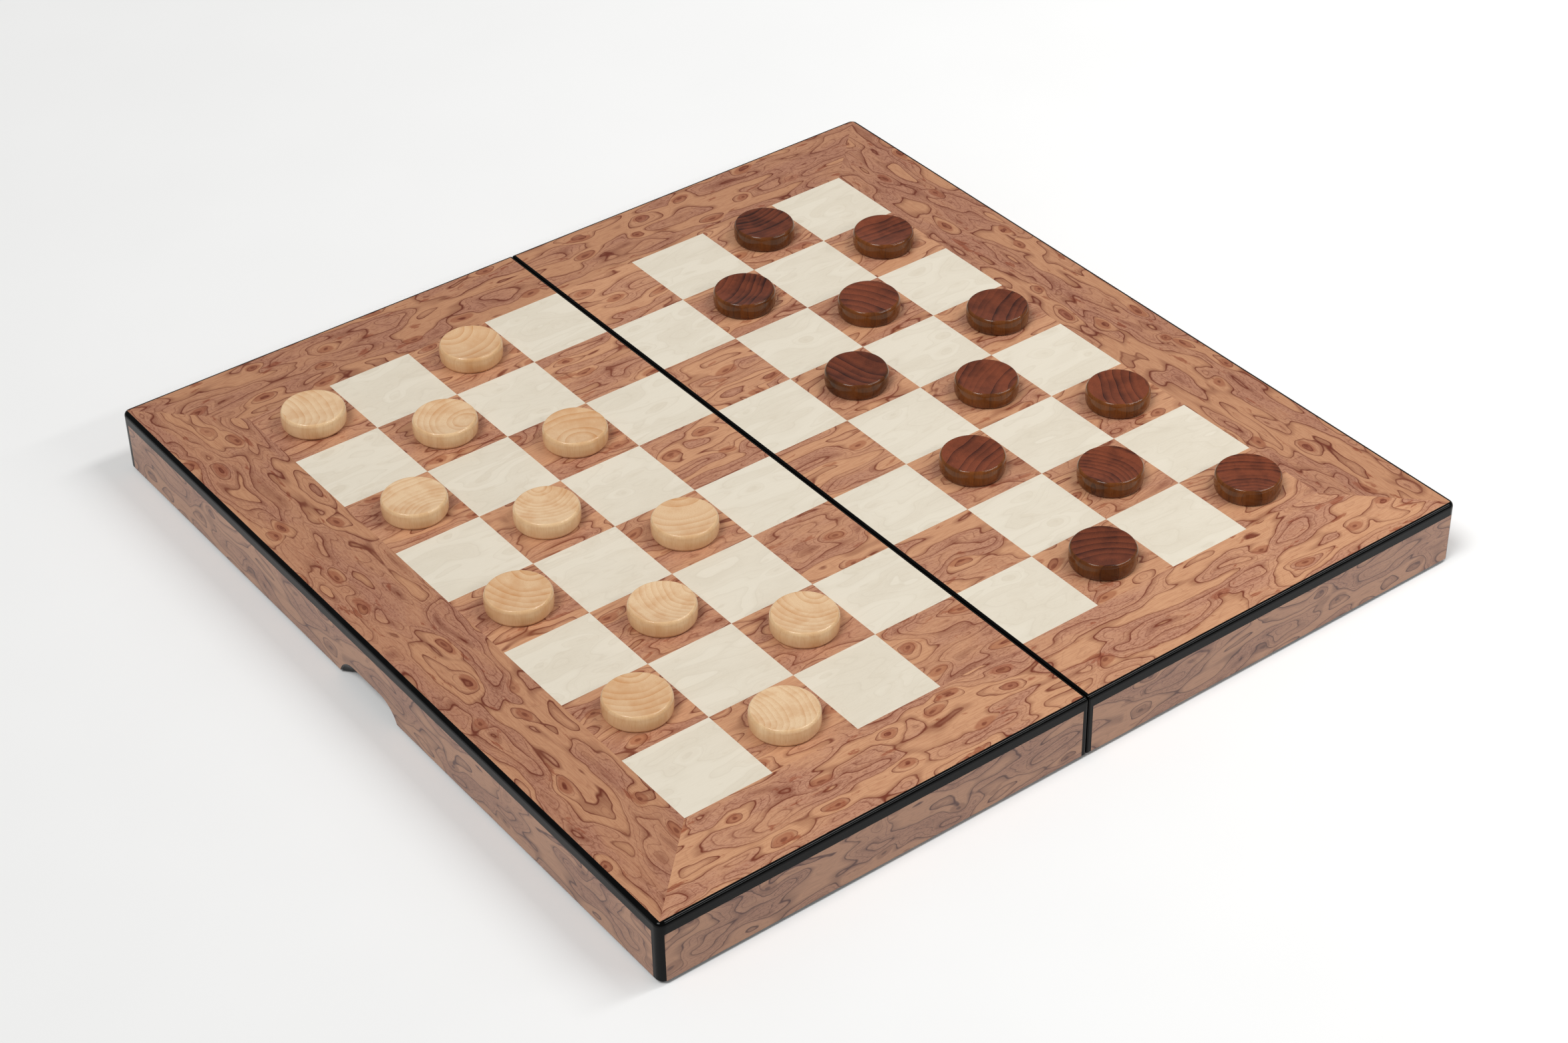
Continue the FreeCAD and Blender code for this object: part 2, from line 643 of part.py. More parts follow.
def disc(label, profile, column, number, across, along):
    """One turned disc, standing near the middle of a square counted from the front left corner."""
    made = doc.addObject("Part::Revolution", label)
    made.Source = profile
    made.Axis = Z_AXIS
    made.Angle = 360
    made.Solid = True
    put(
        made, LEFT, f"{column + 0.5 - SQUARES_PER_HALF} * dims.square_size + {across}",
        f"{number + 0.5 - ROWS // 2} * dims.square_size + {along}", TOP,
    )
    return node(made)


def disc_army(kind, columns, profile, shift):
    """Twelve discs of one colour on the dark squares of three columns, set down by hand."""
    count = 0
    for column in columns:
        for number in range(ROWS):
            if (column + number) % 2 == 1:
                count += 1
                across = f"{shift} + {count * 3 % 5 - 2} * dims.disc_stray"
                along = f"{count * 2 % 5 - 2} * dims.disc_stray"
                disc(f"{kind}_disc_{count:02d}", profile, column, number, across, along)


# ---------------------------------------------------------------- the whole set
for side in (LEFT, RIGHT):
    screws = hinge_screws(side)
    pockets = rim_magnets(side)
    scoop = finger_scoop(side)
    room = hinge_room(side)
    walls(side, screws, pockets, scoop, room)
    panel(side)
    lining(side)
    edge_lipping(side)
    side_veneers(side, scoop, room)
    border_veneers(side)
    squares(side)
    hinge_leaves(side, screws)
hinge_pins()

profile = disc_profile()
disc_army("light", range(0, 3), profile, "dims.light_stray")
disc_army("dark", range(5, 8), profile, "0")
doc.recompute()

# ---------------------------------------------------------------- checks, then the files
for obj in doc.Objects:
    if "Invalid" in obj.State or "Error" in obj.State:
        raise RuntimeError(f"{obj.Label} could not be built: {obj.State}")
for made in nodes:
    if made.Shape.isNull() or not made.Shape.isValid() or not made.Shape.Solids:
        raise RuntimeError(f"{made.Label} has no valid solid")

os.makedirs("parts", exist_ok=True)
for made in nodes:
    made.Shape.exportStep(f"parts/{made.Label}.step")
    print(f"{made.Label}: {len(made.Shape.Solids)} solids, {made.Shape.Volume:.1f} mm3")
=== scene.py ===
# %% [markdown]
# # A folding draughts set
# The set is a shallow veneered case that opens flat to make the board, with 24 turned wooden discs standing
# on its squares. The case comes from the CAD frame, whose solids already have the right shape and size, so
# its pieces only get their finish here: veneer, lacquer, felt and brass. The discs are turned again, because
# a lathe leaves a crisp lip, a soft shoulder and a hollow face that the plain CAD disc only hints at.

import math
import random

import bmesh
import bpy
from mathutils import Matrix, Vector


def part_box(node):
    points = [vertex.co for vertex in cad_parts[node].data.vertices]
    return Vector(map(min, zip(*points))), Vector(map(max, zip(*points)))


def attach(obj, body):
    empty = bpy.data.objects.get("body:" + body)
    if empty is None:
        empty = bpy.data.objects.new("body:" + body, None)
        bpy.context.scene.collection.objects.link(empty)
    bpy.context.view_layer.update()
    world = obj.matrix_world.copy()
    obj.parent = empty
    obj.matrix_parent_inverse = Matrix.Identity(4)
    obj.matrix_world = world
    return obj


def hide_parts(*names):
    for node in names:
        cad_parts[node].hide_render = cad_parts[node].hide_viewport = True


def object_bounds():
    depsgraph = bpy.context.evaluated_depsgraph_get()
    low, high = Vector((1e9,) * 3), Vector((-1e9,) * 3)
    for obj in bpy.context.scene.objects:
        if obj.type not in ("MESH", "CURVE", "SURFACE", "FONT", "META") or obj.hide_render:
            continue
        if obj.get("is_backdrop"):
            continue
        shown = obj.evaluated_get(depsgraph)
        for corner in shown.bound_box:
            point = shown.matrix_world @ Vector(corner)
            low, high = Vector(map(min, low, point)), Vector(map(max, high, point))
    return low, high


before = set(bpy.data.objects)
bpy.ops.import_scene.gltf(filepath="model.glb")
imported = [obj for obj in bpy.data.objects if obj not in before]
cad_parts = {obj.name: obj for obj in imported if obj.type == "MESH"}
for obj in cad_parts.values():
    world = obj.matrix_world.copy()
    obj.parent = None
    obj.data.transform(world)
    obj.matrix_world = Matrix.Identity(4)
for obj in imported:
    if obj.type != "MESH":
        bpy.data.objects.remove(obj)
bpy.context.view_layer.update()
MM = 0.001
TURN = 2 * math.pi

# %% [markdown]
# The playing face is the plane that everything is measured from. Its height, the size of a square and the
# outside of the case are read from the frame, so that nothing here is fitted by eye.

# %% Places read from the frame
face_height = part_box("light_squares_left")[1][2]
grid_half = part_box("light_squares_left")[1][1]
square = grid_half / 4
case_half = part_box("edge_lipping_left")[1][1]
print(f"square {square / MM:.1f} mm, case {2 * case_half / MM:.0f} mm, face at {face_height / MM:.2f} mm")

# %% [markdown]
# The camera stands in front of the left corner and looks down on the board at 37 degrees, with a long lens
# that keeps the far edge nearly as wide as the near one. Its three axes are worked out from the direction
# of view, because a camera looks along its own -Z with +Y up. A degree of roll tilts it like a hand-held one.

# %% Camera
CAMERA_PLACE = Vector((-0.6503, -0.8891, face_height + 0.7974))
CAMERA_HEADING = math.radians(36.42)
CAMERA_DIP = math.radians(37.11)
CAMERA_ROLL = math.radians(-1.12)
LENS_MM = 72.61
SENSOR_MM = 36

flat = math.cos(CAMERA_DIP)
forward = Vector((math.sin(CAMERA_HEADING) * flat, math.cos(CAMERA_HEADING) * flat, -math.sin(CAMERA_DIP)))
level_right = forward.cross(Vector((0, 0, 1))).normalized()
level_up = level_right.cross(forward)
right = level_right * math.cos(CAMERA_ROLL) + level_up * math.sin(CAMERA_ROLL)
up = right.cross(forward)

camera = bpy.data.objects.new("camera", bpy.data.cameras.new("camera"))
camera.data.lens = LENS_MM
camera.data.sensor_width = SENSOR_MM
camera.location = CAMERA_PLACE
camera.rotation_mode = "QUATERNION"
camera.rotation_quaternion = Matrix((right, up, -forward)).transposed().to_quaternion()
bpy.context.scene.collection.objects.link(camera)
bpy.context.scene.camera = camera
print("camera to board:", round(CAMERA_PLACE.length, 3), "m")

# %% [markdown]
# ## Small helpers
# Colours are written as the sRGB hex values that a paint program shows. Cycles works with linear light, so
# one function turns them. One other function adds any node: its inputs are given in order, or by name in a
# dictionary, and each is a plain value, a hex colour or another node's output. It gives back one output of
# the new node, so that the next node can take it.

# %% Colour and node helpers


def colour(code):
    """Linear RGBA from an sRGB hex value such as #c8926c."""
    channels = [int(code[place:place + 2], 16) / 255 for place in (1, 3, 5)]
    return [c / 12.92 if c <= 0.04045 else ((c + 0.055) / 1.055) ** 2.4 for c in channels] + [1.0]


def add(tree, kind, *inputs, out=0, **settings):
    """Add a node with its settings and inputs; out picks its output, and None gives all of them."""
    node = tree.nodes.new("ShaderNode" + kind)
    for name, value in settings.items():
        setattr(node, name, value)
    if inputs and isinstance(inputs[0], dict):
        given = inputs[0]
    else:
        given = dict(enumerate(inputs))
    for name, value in given.items():
        if isinstance(value, bpy.types.NodeSocket):
            tree.links.new(value, node.inputs[name])
        else:
            node.inputs[name].default_value = colour(value) if isinstance(value, str) else value
    return node.outputs if out is None else node.outputs[out]


def surface(name, **values):
    """A material with one Principled shader, whose plain values are set on its own sockets."""
    made = bpy.data.materials.new(name)
    made.use_nodes = True
    shader = made.node_tree.nodes["Principled BSDF"]
    for socket, value in values.items():
        shader.inputs[socket.replace("_", " ")].default_value = value
    return made, made.node_tree, shader


print("mid grey in linear light:", round(colour("#808080")[0], 3))

# %% [markdown]
# A texture on real wood repeats nothing, but all of it is made of a few measurements: how far apart the
# fibres lie, how long they are, how wide the growth bands are. `grain` is a noise whose cells have such a
# size in millimetres along X, Y and Z. A Map Range node with SOFT_STEP then turns it into a mask. The
# numbers after the noise are the two limits between which it turns and, where they aren't 0 and 1, the two
# strengths that it turns between.
# `painted` lays colours over each other through such masks, and `dress` puts the result on the shader with
# a fine relief.

# %% Patterns with a size in millimetres
SOFT_STEP = {"interpolation_type": "SMOOTHSTEP"}


def grain(tree, place, size_mm, detail=2.0, roughness=0.5, distortion=0.0):
    """Noise from 0 to 1 whose blobs are about size_mm = (x, y, z) large."""
    scaled = add(tree, "Mapping", {"Vector": place, "Scale": [1 / (size * MM) for size in size_mm]})
    return add(
        tree, "TexNoise",
        {"Vector": scaled, "Scale": 1.0, "Detail": detail, "Roughness": roughness, "Distortion": distortion},
    )


def painted(tree, ground, layers):
    """Lay colours over the ground, each through its own mask, the first one lowest."""
    body = ground
    for mask, tone in layers:
        body = add(tree, "Mix", {0: mask, 6: body, 7: tone}, data_type="RGBA", out=2)
    return body


def dress(tree, shader, body, heights, strength, depth_mm):
    """Give the shader its colour, and a fine relief that follows heights."""
    tree.links.new(body, shader.inputs["Base Color"])
    relief = add(tree, "Bump", {"Height": heights, "Strength": strength, "Distance": depth_mm * MM})
    tree.links.new(relief, shader.inputs["Normal"])


print("blobs of 1 mm are a noise with", round(1 / MM), "cells a metre")

# %% [markdown]
# ## Figured veneer
# The border and the dark squares are a rotary-cut burr veneer: the knife peels the log, so each growth ring
# shows as a thin contour line, like the lines on a map, and each small knot as an eye with rings round it.
# That is how it is made here too. A smooth field plays the part of the wood's hills, a bump is added where
# there is an eye, and a line is drawn wherever the field passes a whole number. The line is sharp on one
# side and fades on the other, as a ring does. The zone between two lines keeps one tone, and in some zones
# hairlines run beside the rings. Field and eyes are stretched along the grain, and a wide and a small sway
# keep them from looking ruled.

# %% Contour lines and eyes
RINGS = 7.5
HILL_MM = (40.0, 12.0, 12.0)
# The size of a sway, then how far it reaches along and across the grain.
WIDE_SWAY_MM = (32, (22, 9))
SMALL_SWAY_MM = (5.0, (2.0, 0.9))
EYE_SPACING_MM = 17.0
EYE_STRETCH = 1.9
# About a third of the cells have no eye. Sizes are in eye spacings, and an eye raises the hills by
# EYE_RINGS rings.
EYELESS = (0.30, 0.34)
EYE_REACH = 0.34
EYE_RIM = (0.12, 0.17)
PUPIL_RIM = (0.03, 0.06)
EYE_RINGS = 1.6
# Widths of a line's sharp core and of its fading side, in line spacings.
RING_LINE = (0.085, 0.36)
HAIRLINE = (0.07, 0.2)
HAIRLINES_PER_RING = 2.7


def swayed_by(tree, place, size_mm, reach_mm):
    """Push a place about by a noise of one size, so that straight things wander."""
    noise = add(tree, "TexNoise", {"Vector": place, "Scale": 1 / (size_mm * MM), "Detail": 2.0}, out="Color")
    centred = add(tree, "VectorMath", noise, (0.5, 0.5, 0.5), operation="SUBTRACT")
    reach = (reach_mm[0] * MM, reach_mm[1] * MM, 0.0)
    return add(tree, "VectorMath", centred, reach, place, operation="MULTIPLY_ADD")


def edge_line(tree, phase, width, tail):
    """1 where the phase passes a whole number, with a sharp side and a side that fades over tail."""
    before = add(tree, "MapRange", phase, 1 - width, 1.0, **SOFT_STEP)
    after = add(tree, "MapRange", phase, 0.0, width, 1.0, 0.0, **SOFT_STEP)
    sharp = add(tree, "Math", before, after, operation="MAXIMUM")
    fading = add(tree, "MapRange", phase, 0.0, tail, 1.0, 0.0, **SOFT_STEP)
    soft = add(tree, "Math", fading, 0.5, operation="MULTIPLY")
    return add(tree, "Math", sharp, soft, operation="MAXIMUM")


def ring_figure(tree, place):
    """Masks from 0 to 1: ring lines, tone of the wood between two lines, inside of the eyes, pupils."""
    wide = swayed_by(tree, place, *WIDE_SWAY_MM)
    swayed = swayed_by(tree, wide, *SMALL_SWAY_MM)
    hills = grain(tree, swayed, HILL_MM, detail=1.2, roughness=0.40)

    per_metre = (1 / (EYE_SPACING_MM * EYE_STRETCH * MM), 1 / (EYE_SPACING_MM * MM), 1)
    cells = add(tree, "Mapping", {"Vector": swayed, "Scale": per_metre})
    eyes = add(tree, "TexVoronoi", {"Vector": cells, "Scale": 1.0}, voronoi_dimensions="2D", out=None)
    chance = add(tree, "SeparateColor", eyes["Color"])
    present = add(tree, "MapRange", chance, *EYELESS, **SOFT_STEP)
    hump = add(tree, "MapRange", eyes["Distance"], 0.0, EYE_REACH, 1.0, 0.0, **SOFT_STEP)
    hump = add(tree, "Math", hump, present, operation="MULTIPLY")
    hump = add(tree, "Math", hump, EYE_RINGS, operation="MULTIPLY")

    field = add(tree, "Math", hills, RINGS, hump, operation="MULTIPLY_ADD")
    phase = add(tree, "Math", field, operation="FRACT")
    number = add(tree, "Math", field, operation="FLOOR")
    zone = add(tree, "TexWhiteNoise", {"W": number}, noise_dimensions="1D")
    finer = add(tree, "Math", field, HAIRLINES_PER_RING, operation="MULTIPLY")
    finer = add(tree, "Math", finer, operation="FRACT")
    hair = edge_line(tree, finer, *HAIRLINE)
    hair_zone = add(tree, "MapRange", zone, 0.35, 0.65, 0.15, 0.6, **SOFT_STEP)
    hair = add(tree, "Math", hair, hair_zone, operation="MULTIPLY")
    line = add(tree, "Math", edge_line(tree, phase, *RING_LINE), hair, operation="MAXIMUM")

    rims = []
    for rim in (EYE_RIM, PUPIL_RIM):
        within = add(tree, "MapRange", eyes["Distance"], *rim, 1.0, 0.0, **SOFT_STEP)
        rims.append(add(tree, "Math", within, present, operation="MULTIPLY"))
    return line, zone, *rims


along_grain = EYE_SPACING_MM * EYE_STRETCH
print(f"room for an eye every {along_grain:.0f} mm along the grain and {EYE_SPACING_MM:.0f} mm across it")

# %% [markdown]
# Three things tell a reader how the sheet was laid. On the border the grain runs along each strip, and turns
# where two strips meet in a mitre, so there the pattern swaps X and Y on one side of the diagonal. Each dark
# square is cut from its own place in the leaf, so its pattern jumps by a random step. On the upright sides
# the grain runs along the side and across its height.

# %% Where a point of the case lies on its leaf of veneer
# Steps through the leaf, in metres.
STRIP_STEP = (0.35, 0.23, 0.11)
SQUARE_STEP = (1.7, 1.7, 0)


def past_mitre(tree, place):
    """1 on the two outer strips, where X is farther out than Y, and 0 on the front and back strips."""
    parts = add(tree, "SeparateXYZ", place, out=None)
    out_x, out_y = [add(tree, "Math", part, operation="ABSOLUTE") for part in parts[:2]]
    return add(tree, "Math", out_x, out_y, operation="GREATER_THAN")


def painted_shade_strips(tree, place):
    """1 on the outer and back strips, which are tinted darker than the front ones: painted shade for the
    light falling off away from the front.
    """
    parts = add(tree, "SeparateXYZ", place, out=None)
    behind = add(tree, "Math", parts[1], 0.0, operation="GREATER_THAN")
    return add(tree, "Math", past_mitre(tree, place), behind, operation="MAXIMUM")


def on_border(tree, place):
    """X along the grain of each strip, and every strip from its own part of the leaf."""
    parts = add(tree, "SeparateXYZ", place, out=None)
    outer = past_mitre(tree, place)
    turned = add(tree, "CombineXYZ", parts[1], parts[0], parts[2])
    laid = add(tree, "Mix", {0: outer, 4: place, 5: turned}, data_type="VECTOR", out=1)
    half, end = [add(tree, "Math", part, operation="SIGN") for part in parts[:2]]
    inner = add(tree, "Math", 1.0, outer, operation="SUBTRACT")
    inner_end = add(tree, "Math", end, inner, operation="MULTIPLY")
    step = add(tree, "CombineXYZ", half, outer, inner_end)
    return add(tree, "VectorMath", step, STRIP_STEP, laid, operation="MULTIPLY_ADD")


def on_square(tree, place):
    """Each square takes its own random place in the leaf."""
    number = add(tree, "VectorMath", place, (square, square, 1.0), operation="DIVIDE")
    whole = add(tree, "VectorMath", number, operation="FLOOR")
    chance = add(tree, "TexWhiteNoise", {"Vector": whole}, noise_dimensions="2D", out="Color")
    step = add(tree, "VectorMath", chance, SQUARE_STEP, operation="MULTIPLY")
    return add(tree, "VectorMath", place, step, operation="ADD")


def on_side(tree, place):
    """X along whichever side of the case the point is on, Y up the side."""
    parts = add(tree, "SeparateXYZ", place, out=None)
    along = add(tree, "Math", parts[0], parts[1], operation="ADD")
    return add(tree, "CombineXYZ", along, parts[2], 0.0)


print("squares jump up to", SQUARE_STEP[0], "m in the leaf, strips up to", STRIP_STEP[0], "m")

# %% [markdown]
# The veneer itself is built up like the real thing: first the peach-brown wood and its duller zones, then
# fibres a fraction of a millimetre wide, a stipple of pores in the dull zones, smears of red heartwood, the
# eyes, and last the ring lines and the dark pupils. The outer and back strips are then tinted a little
# darker, which is painted shade for the light falling off away from the front. A thin coat of clear lacquer,
# rubbed to a satin shine, goes over everything. The light squares are a pale dyed veneer of the same kind,
# with most of its figure bleached away.

# %% Veneer material
# Real fibres and pores are a few times finer; these are as coarse as they need to be to show.
FIBRE_MM = (7.0, 0.45, 0.45)
PORE_MM = (1.5, 0.55, 0.55)
STREAK_MM = (17.0, 5.0, 5.0)
CLOUD_MM = (34.0, 13.0, 13.0)


def veneer(name, laid, tones, strength=1.0, streaks=0.6, rough=0.33, painted_strip_shade=None):
    """Lacquered figured veneer; laid says how a point of the case maps to the leaf.

    The tones are those of the wood, its dull zones, its ring lines and its heart.
    """
    wood, dim, ring, heart = tones
    made, tree, shader = surface(name, Roughness=rough, IOR=1.45)
    case = add(tree, "TexCoord", out="Object")
    place = laid(tree, case)
    line, zone, inside, pupil = ring_figure(tree, place)
    fibres = grain(tree, place, FIBRE_MM, detail=3.0, roughness=0.6)
    pores = grain(tree, place, PORE_MM, detail=1.0, roughness=0.6)
    clouds = grain(tree, place, CLOUD_MM, detail=3.0, roughness=0.55)
    streak = grain(tree, place, STREAK_MM, detail=4.0, roughness=0.6, distortion=0.3)

    dull = add(tree, "MapRange", zone, 0.45, 0.8, 0.1, 0.9, **SOFT_STEP)
    cloudy = add(tree, "MapRange", clouds, 0.36, 0.62, 0.4, 1.0, **SOFT_STEP)
    dull = add(tree, "Math", dull, cloudy, operation="MULTIPLY")
    threads = add(tree, "MapRange", fibres, 0.35, 0.75, 0.0, 0.34 * strength, **SOFT_STEP)
    stipple = add(tree, "MapRange", pores, 0.50, 0.66, 0.0, 0.45 * strength, **SOFT_STEP)
    stipple = add(tree, "Math", stipple, dull, operation="MULTIPLY")
    smear = add(tree, "MapRange", streak, 0.61, 0.67, 0.0, streaks, **SOFT_STEP)
    frayed = add(tree, "MapRange", fibres, 0.2, 0.6, 0.6, 1.0, **SOFT_STEP)
    smear = add(tree, "Math", smear, frayed, operation="MULTIPLY")
    inside = add(tree, "Math", inside, 0.55 * strength, operation="MULTIPLY")
    patchy = add(tree, "MapRange", clouds, 0.30, 0.50, 0.65, 1.0, **SOFT_STEP)
    drawn = add(tree, "Math", line, patchy, operation="MULTIPLY")
    drawn = add(tree, "Math", drawn, strength, operation="MULTIPLY")
    pupil = add(tree, "Math", pupil, 0.7 * strength, operation="MULTIPLY")

    body = painted(tree, wood, [
        (dull, dim), (threads, heart), (stipple, ring), (smear, heart), (inside, heart), (drawn, ring),
        (pupil, ring),
    ])
    # Painted shade: the outer and back strips of the border are multiplied darker, as if less light reached
    # them.
    if painted_strip_shade:
        leaf = painted_shade_strips(tree, case)
        body = add(
            tree, "Mix", {0: leaf, 6: body, 7: painted_strip_shade}, data_type="RGBA", blend_type="MULTIPLY", out=2
        )
    dress(tree, shader, body, fibres, 0.06, 0.05)
    return made


# Busy brown figure under a satin coat, which frames the board.
# Its outer and back strips get a painted shade tint.
border_veneer = veneer(
    "burr_veneer_border", on_border, ("#d39f78", "#bd8a70", "#74341f", "#93482b"), streaks=0.75,
    painted_strip_shade="#ebe6e5",
)
# The same leaf, a touch quieter, so that each dark square reads as one warm field.
square_veneer = veneer(
    "burr_veneer_squares", on_square, ("#d09c76", "#b9866c", "#763823", "#954c2d"), strength=0.95
)
# The same burr leaf drawn greyer, duller and darker: painted shade for the upright sides, which get less
# light, and a painted reflection of the pale room that greys them.
side_veneer = veneer(
    "burr_veneer_sides_painted_shade", on_side, ("#b3876b", "#9f7560", "#573731", "#7b5544"), streaks=0.5
)
# Creamy and nearly plain, so that the light squares stay bright from any side.
ivory_veneer = veneer(
    "ivory_dyed_veneer", on_square, ("#e6ddcb", "#e0d6c3", "#d5cab6", "#d8ccb7"), strength=0.45,
    streaks=0.4, rough=0.30,
)
print("veneers:", [item.name for item in (border_veneer, square_veneer, side_veneer, ivory_veneer)])

# %% [markdown]
# ## Black lacquer
# The lippings and walls are sprayed with black polyester lacquer and buffed. The colour is almost nothing;
# what the eye sees is the reflection, so the coat is sharp and only a faint orange peel bends it. Inside the
# finger scoop the same lacquer covers the cut edge of the side veneer.

# %% Lacquer materials
SKIN_MM = 0.05
DUST_MM = (9.0, 9.0, 9.0)
PEEL_MM = (3.0, 3.0, 3.0)


def black_lacquer(name, rough, peel):
    """Sprayed black lacquer; peel is the strength of its faint waviness."""
    made, tree, shader = surface(name, Roughness=rough, IOR=1.5, Specular_IOR_Level=0.14)
    place = add(tree, "TexCoord", out="Object")
    dust = add(tree, "MapRange", grain(tree, place, DUST_MM, detail=4.0), 0.4, 0.7, **SOFT_STEP)
    body = painted(tree, "#030303", [(dust, "#080808")])
    dress(tree, shader, body, grain(tree, place, PEEL_MM, detail=1.0), peel, 0.02)
    return made


def blacken_cut_edges(made):
    """Behind the outer skin of the side veneer, where the scoop cuts it, the veneer is lacquered black."""
    tree = made.node_tree
    shader = tree.nodes["Principled BSDF"]
    wood = shader.inputs["Base Color"].links[0].from_socket
    place = add(tree, "TexCoord", out="Object")
    parts = add(tree, "SeparateXYZ", place, out=None)
    out_x, out_y = [add(tree, "Math", part, operation="ABSOLUTE") for part in parts[:2]]
    farthest = add(tree, "Math", out_x, out_y, operation="MAXIMUM")
    behind = add(tree, "Math", farthest, case_half - SKIN_MM * MM, operation="LESS_THAN")
    away_from_seam = add(tree, "Math", out_x, case_half / 2, operation="GREATER_THAN")
    cut = add(tree, "Math", behind, away_from_seam, operation="MULTIPLY")
    tree.links.new(painted(tree, wood, [(cut, "#0c0c0d")]), shader.inputs["Base Color"])


# A buffed coat: deep black with sharp, thin lights along the rounded edges.
lipping_lacquer = black_lacquer("black_polyester_lacquer", rough=0.07, peel=0.05)
# The same lacquer straight from the gun, so its lights are wide and soft.
wall_lacquer = black_lacquer("black_lacquer_on_walls", rough=0.22, peel=0.15)
blacken_cut_edges(side_veneer)
print("lacquers:", lipping_lacquer.name, wall_lacquer.name)

# %% [markdown]
# ## Turned wood
# Each disc is sliced from a turned rod, so its two faces are end grain and its side is long grain. Every
# disc was somewhere else in the log: `log` holds, at each point, how far it lay from the heart of the tree.
# Circles round the heart then give ring arcs on the faces and upright streaks on the side, with no seam
# between them. Each ring darkens slowly through its year and ends in a thin dark line, and no two years are
# equally strong. `face` is 1 on the end grain, which drinks lacquer and turns darker and redder than the
# side.

# %% Disc wood material
BEND_MM = (22.0, 22.0, 90.0)
BEND_REACH_MM = 6.0
# Pores are drawn wider than they grow, so that they show.
LOG_PORE_MM = (0.42, 0.42, 5.0)
LOG_CLOUD_MM = (9.0, 9.0, 40.0)
WHOLE_DISC_MM = (150.0, 150.0, 45.0)


def turned_wood(name, face_tones, side_tones, band_mm, face_lines, side_lines, **gloss):
    """Lacquered turned wood; tones are (wood, band) pairs for the end grain and for the side."""
    made, tree, shader = surface(name, Coat_Roughness=0.08, **gloss)
    log = add(tree, "Attribute", attribute_name="log", out="Vector")
    on_face = add(tree, "Attribute", attribute_name="face", out="Fac")

    parts = add(tree, "SeparateXYZ", log, out=None)
    flat_log = add(tree, "CombineXYZ", parts[0], parts[1], 0.0)
    reach = add(tree, "VectorMath", flat_log, operation="LENGTH", out="Value")
    bend = grain(tree, log, BEND_MM, detail=1.5)
    bent = add(tree, "Math", bend, BEND_REACH_MM * MM, reach, operation="MULTIPLY_ADD")
    count = add(tree, "Math", bent, 1 / (band_mm * MM), operation="MULTIPLY")
    phase = add(tree, "Math", count, operation="FRACT")
    number = add(tree, "Math", count, operation="FLOOR")
    year = add(tree, "TexWhiteNoise", {"W": number}, noise_dimensions="1D")

    growing = add(tree, "MapRange", phase, 0.15, 0.97, 0.0, 0.55, **SOFT_STEP)
    ending = add(tree, "MapRange", phase, 0.97, 1.0, 1.0, 0.0, **SOFT_STEP)
    late = add(tree, "Math", growing, ending, operation="MULTIPLY")
    rising = add(tree, "MapRange", phase, 0.84, 0.93, **SOFT_STEP)
    falling = add(tree, "MapRange", phase, 0.93, 1.0, 1.0, 0.0, **SOFT_STEP)
    thin = add(tree, "Math", rising, falling, operation="MULTIPLY")
    late = add(tree, "Math", late, thin, operation="MAXIMUM")
    strong_year = add(tree, "MapRange", year, 0.0, 1.0, 0.1, 1.0, **SOFT_STEP)
    late = add(tree, "Math", late, strong_year, operation="MULTIPLY")
    seen = add(tree, "MapRange", on_face, 0.0, 1.0, side_lines, face_lines, **SOFT_STEP)
    shade = add(tree, "Math", late, seen, operation="MULTIPLY")

    pores = grain(tree, log, LOG_PORE_MM, detail=2.0, roughness=0.6)
    clouds = grain(tree, log, LOG_CLOUD_MM, detail=3.0, roughness=0.55)
    whole = grain(tree, log, WHOLE_DISC_MM, detail=0.0)
    cloudy = add(tree, "MapRange", clouds, 0.38, 0.68, 0.0, 0.35, **SOFT_STEP)
    shade = add(tree, "Math", shade, cloudy, operation="ADD")
    darker_disc = add(tree, "MapRange", whole, 0.35, 0.65, 0.0, 0.30, **SOFT_STEP)
    shade = add(tree, "Math", shade, darker_disc, operation="ADD")
    speck = add(tree, "MapRange", pores, 0.42, 0.72, 0.0, 0.26, **SOFT_STEP)

    tones = (face_tones, side_tones)
    face_wood, side_wood = [painted(tree, wood, [(shade, band)]) for wood, band in tones]
    body = painted(tree, side_wood, [(on_face, face_wood), (speck, side_tones[1])])
    dress(tree, shader, body, pores, 0.08, 0.05)
    return made


# Pale and honey-warm, with faint rings under a satin coat that gives it small soft lights.
maple = turned_wood(
    "maple_turned", ("#e9caa3", "#c98f5a"), ("#eccb9f", "#cc9660"), band_mm=2.9, face_lines=0.6,
    side_lines=0.2, Roughness=0.22, IOR=1.45, Coat_Weight=0.3,
)
# Deep red-brown with near-black rings, and glossier, so that the lips carry bright thin lights.
rosewood = turned_wood(
    "rosewood_turned", ("#824128", "#2e110b"), ("#7c451a", "#260f08"), band_mm=3.2, face_lines=0.85,
    side_lines=0.35, Roughness=0.13, IOR=1.37, Coat_Weight=0.16,
)
print("turned woods:", maple.name, rosewood.name)

# %% [markdown]
# A disc comes off the lathe, so it is a spun profile: half of its section is drawn as a chain of edges from
# the middle of the upper face, out along the shallow dish to a crisp lip, over the round shoulder and down
# the slightly barrelled side, then the same again, mirrored, for the lower face. Spinning the chain makes
# every surface at once, and merging the first and last turn closes it.

# %% Disc profile
SPIN_STEPS = 96
DISH_STEPS = 14
SHOULDER_STEPS = 10
SIDE_STEPS = 4
SHOULDER_MM = 2.4
SHOULDER_START = math.radians(40)
BARREL_MM = 0.15
CREASE_SHARE = 0.972


